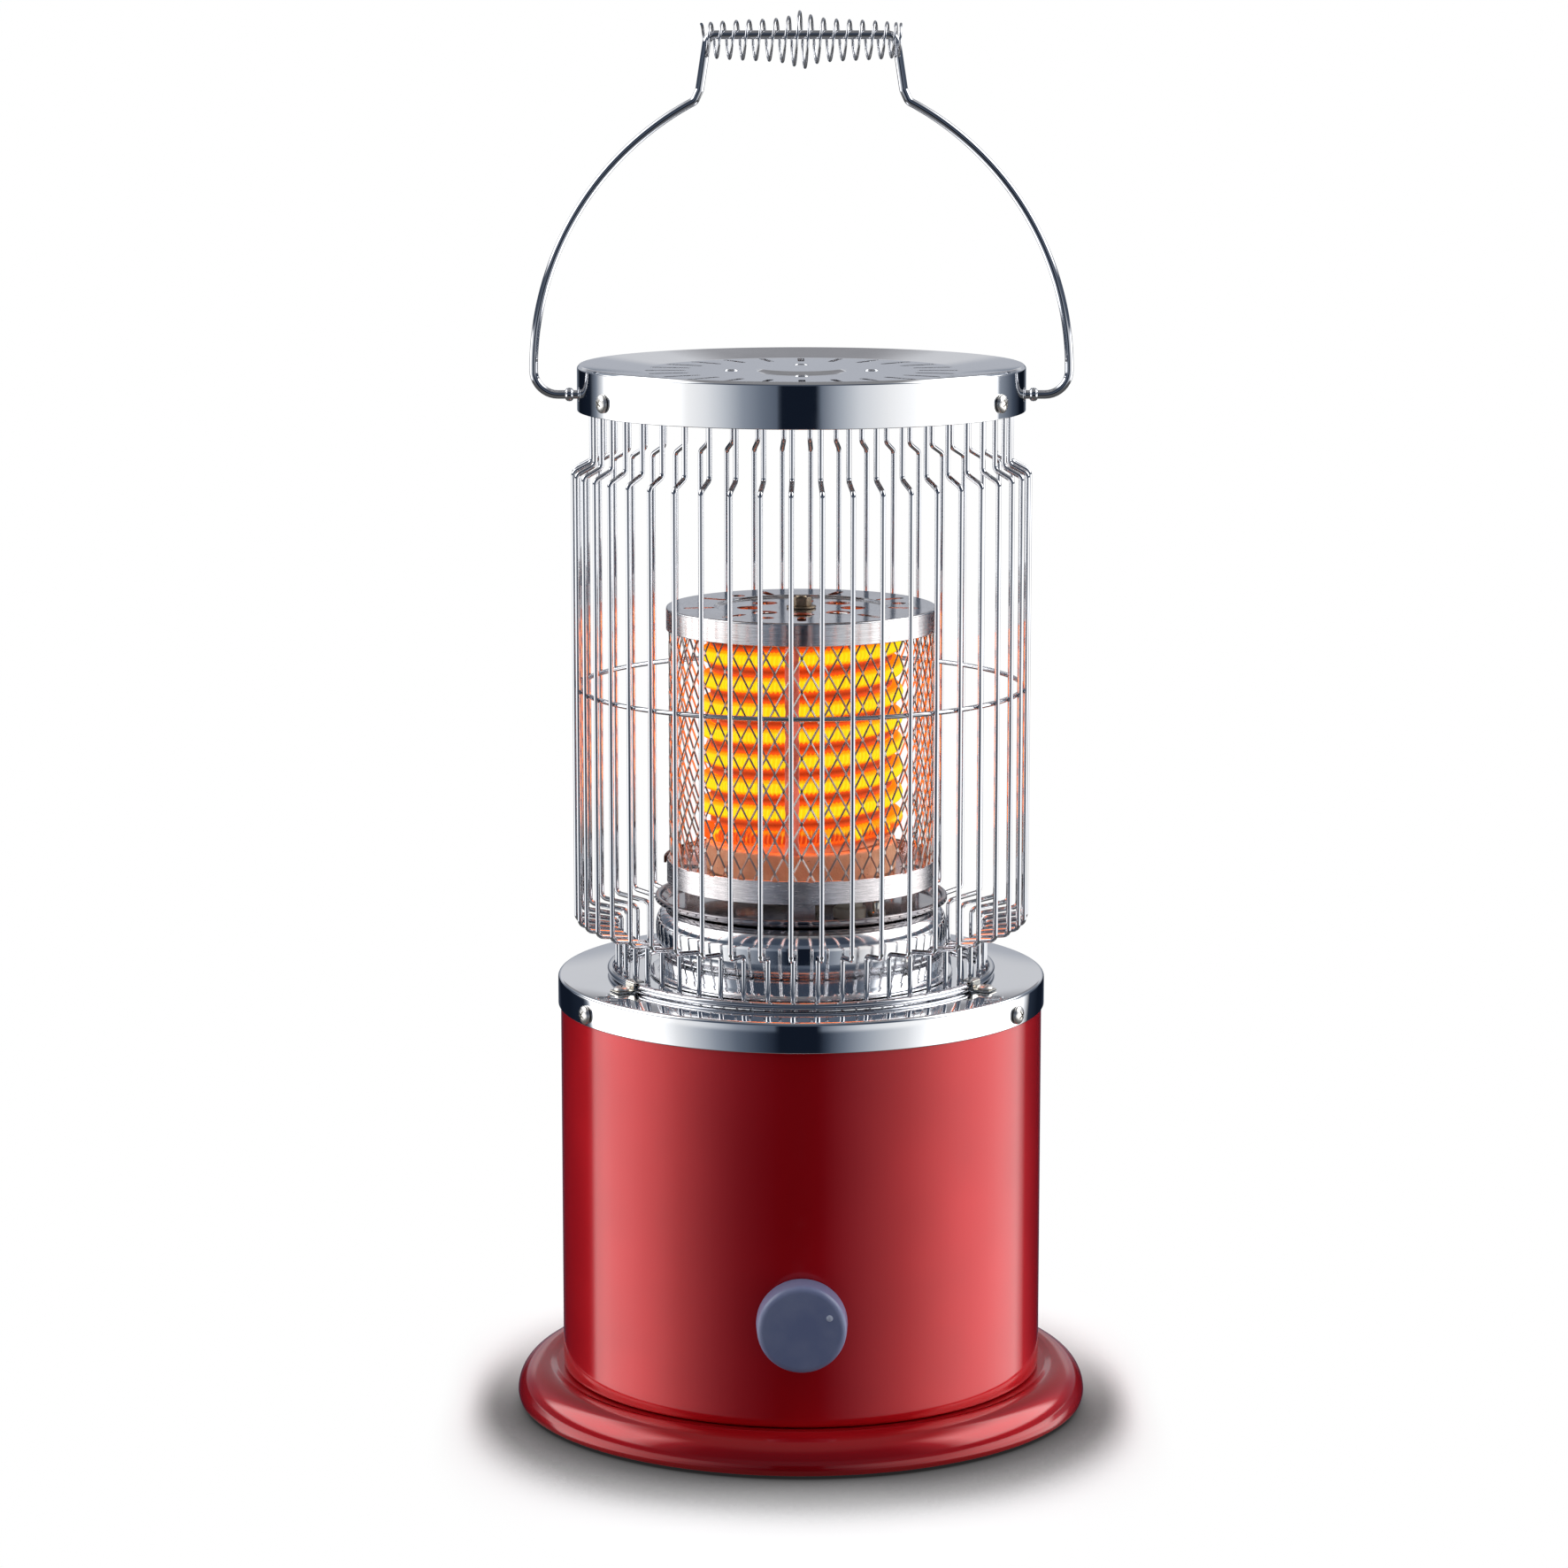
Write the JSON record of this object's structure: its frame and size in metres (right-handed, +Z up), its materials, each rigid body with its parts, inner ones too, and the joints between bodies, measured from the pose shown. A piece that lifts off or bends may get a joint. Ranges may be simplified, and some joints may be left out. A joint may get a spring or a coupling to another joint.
{
  "type": "ceramic radiant heater",
  "caption": "Round electric radiant heater: enamelled drum on a flanged base, ceramic heating core in a wire guard under a slotted cap, with a swinging bail handle.",
  "frame": {"origin": "on the floor under the middle of the base", "axes": "+Z up, front with the knob towards -Y, +X to the right seen from the front"},
  "size_m": [0.2898, 0.2914, 0.7056],
  "materials": {
    "red_enamel": "glossy red stove enamel",
    "chrome": "polished chrome plate",
    "brushed_steel": "plain steel sheet, a little heat-tinted",
    "nickel": "nickel-plated hardware",
    "glowing_coil": "resistance wire, glowing yellow",
    "ceramic": "unglazed beige ceramic, opaque",
    "porcelain": "white porcelain, opaque",
    "blue_plastic": "satin slate-blue moulded plastic",
    "dark_plastic": "black moulded plastic",
    "rubber": "black rubber",
    "wire_sheath": "heat-proof woven sleeve"
  },
  "bodies": {
    "heater": {"base_cover": "chrome", "base_flange": "red_enamel", "bottom_plate": "brushed_steel", "bottom_screw_1": "nickel", "bottom_screw_2": "nickel", "bottom_screw_3": "nickel", "cap_screw_1": "nickel", "cap_screw_2": "nickel", "cap_screw_3": "nickel", "cap_seat_ring": "brushed_steel", "ceramic_core": "ceramic", "clip_screw_1": "nickel", "clip_screw_2": "nickel", "clip_screw_3": "nickel", "coil_retainer": "ceramic", "cord_gland": "rubber", "core_leg_1": "brushed_steel", "core_leg_2": "brushed_steel", "core_leg_3": "brushed_steel", "core_nut": "nickel", "core_tie_rod": "nickel", "core_top_plate": "brushed_steel", "core_tray": "brushed_steel", "cover_screw_1": "nickel", "cover_screw_2": "nickel", "cover_screw_3": "nickel", "drum_shell": "red_enamel", "foot_1": "rubber", "foot_2": "rubber", "foot_3": "rubber", "foot_4": "rubber", "guard_cage": "chrome", "guard_clip_1": "nickel", "guard_clip_2": "nickel", "guard_clip_3": "nickel", "heating_coil": "glowing_coil", "insulator_1": "porcelain", "insulator_2": "porcelain", "lead_wire_1": "wire_sheath", "lead_wire_2": "wire_sheath", "mesh_screen": "brushed_steel", "pedestal": "chrome", "reflector_pan": "chrome", "rotary_switch": "dark_plastic", "switch_nut": "nickel", "terminal_block": "porcelain", "terminal_stud_1": "nickel", "terminal_stud_2": "nickel", "top_cap": "chrome"},
    "bail": {"bail_wire": "chrome", "grip_spring": "chrome"},
    "knob": {"control_knob": "blue_plastic", "switch_shaft": "nickel"}
  },
  "joints": [
    {"name": "bail_swing", "type": "hinge", "parent": "heater", "child": "bail", "pos_m": [0, 0, 0.5155], "axis": [1, 0, 0], "range_deg": [-125, 125]},
    {"name": "knob_turn", "type": "hinge", "parent": "heater", "child": "knob", "pos_m": [0, -0.13, 0.0725], "axis": [0, -1, 0], "range_deg": [-205, 65]}
  ]
}
